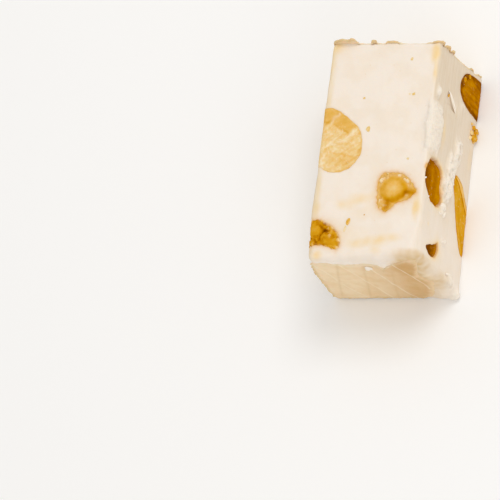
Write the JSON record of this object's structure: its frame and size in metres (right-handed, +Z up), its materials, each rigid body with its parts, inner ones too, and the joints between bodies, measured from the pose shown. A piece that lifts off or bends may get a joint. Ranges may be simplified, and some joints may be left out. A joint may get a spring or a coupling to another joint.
{
  "type": "nougat bar",
  "caption": "Cut bar of soft white nougat, with nuts showing at its faces and edible wafer on both ends, lying on its long side.",
  "frame": {"origin": "middle of the base that the bar lies on", "axes": "+Y along the bar towards the far wafer, +Z up through the face with the large half-round nut, +X towards the face with the long cut nut at its foot"},
  "size_m": [0.0282, 0.0518, 0.0254],
  "materials": {
    "nougat": "matt, soft and a little waxy",
    "wafer": "dry and papery",
    "nut_pale": "cut nut, slightly oily",
    "nut_gold": "roasted nut, slightly oily",
    "nut_brown": "nut in its brown skin, slightly oily"
  },
  "bodies": {
    "root": {"nougat": "nougat", "wafer_near": "wafer", "wafer_far": "wafer", "nut_round": "nut_pale", "nut_cupped": "nut_gold", "nut_crumbled": "nut_gold", "nut_long": "nut_gold", "nut_skinned": "nut_brown", "nut_edge": "nut_gold", "nut_sunken": "nut_brown", "chip_sunken": "nut_brown", "nut_left_long": "nut_gold", "nut_left_short": "nut_pale", "nut_under_long": "nut_gold", "nut_under_short": "nut_pale"}
  },
  "joints": []
}
